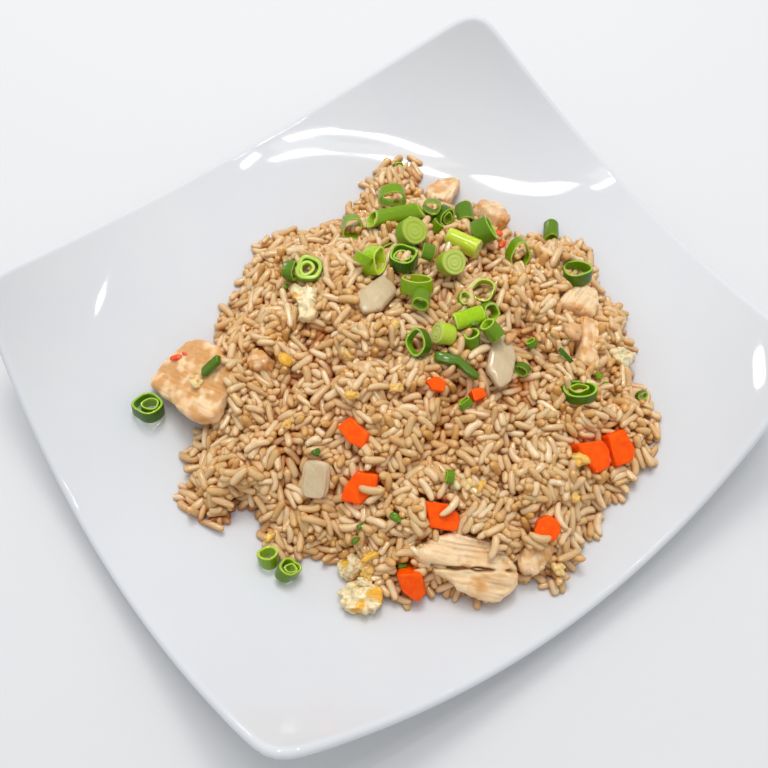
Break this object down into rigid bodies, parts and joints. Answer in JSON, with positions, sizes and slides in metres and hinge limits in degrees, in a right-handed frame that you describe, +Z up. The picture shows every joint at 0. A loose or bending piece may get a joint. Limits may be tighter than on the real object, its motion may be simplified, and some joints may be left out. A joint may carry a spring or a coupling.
{
  "type": "fried rice plate",
  "caption": "Square coupe plate with upswept corners, filled with a mound of chicken fried rice topped with sliced scallion.",
  "frame": {"origin": "on the table under the middle of the plate", "axes": "+Z up from the table, +X along the plate's longer side, +Y along its shorter side"},
  "size_m": [0.2944, 0.2678, 0.0577],
  "materials": {
    "glazed_porcelain": "white gloss glaze",
    "fried_rice": "oily cooked grains",
    "chicken": "cooked pale meat, seared in patches",
    "carrot": "moist cut vegetable",
    "onion": "moist translucent vegetable",
    "egg": "soft cooked curd",
    "scallion_green": "wet green leaf",
    "scallion_white": "wet pale stem"
  },
  "bodies": {
    "root": {"carrot_1": "carrot", "carrot_2": "carrot", "carrot_3": "carrot", "carrot_4": "carrot", "carrot_5": "carrot", "carrot_6": "carrot", "carrot_7": "carrot", "carrot_8": "carrot", "carrot_9": "carrot", "chicken_chunk": "chicken", "chicken_curl": "chicken", "chicken_fold": "chicken", "chicken_front": "chicken", "chicken_front_small": "chicken", "chicken_left": "chicken", "chicken_strip": "chicken", "chicken_top": "chicken", "egg_1": "egg", "egg_2": "egg", "egg_3": "egg", "egg_4": "egg", "onion_1": "onion", "onion_2": "onion", "onion_3": "onion", "plate": "glazed_porcelain", "rice_heap": "fried_rice", "scallion_arc": "scallion_green", "scallion_back": "scallion_green", "scallion_back_left": "scallion_green", "scallion_band": "scallion_green", "scallion_behind_lime": "scallion_green", "scallion_core": "scallion_green", "scallion_crumpled": "scallion_green", "scallion_dark": "scallion_green", "scallion_disc": "scallion_white", "scallion_front": "scallion_green", "scallion_front_right": "scallion_green", "scallion_layered": "scallion_green", "scallion_left_of_strip": "scallion_green", "scallion_lime": "scallion_green", "scallion_lime_tube": "scallion_white", "scallion_loose_front_1": "scallion_green", "scallion_loose_front_2": "scallion_green", "scallion_loose_left": "scallion_green", "scallion_loose_right": "scallion_green", "scallion_on_chicken": "scallion_green", "scallion_open": "scallion_green", "scallion_pale_face": "scallion_white", "scallion_pale_slant": "scallion_white", "scallion_right": "scallion_green", "scallion_squeezed": "scallion_green", "scallion_stalk": "scallion_green", "scallion_strip": "scallion_green", "scallion_thin": "scallion_white", "scallion_twin": "scallion_green", "scallion_under_band": "scallion_green", "scallion_upright": "scallion_green"}
  },
  "joints": []
}
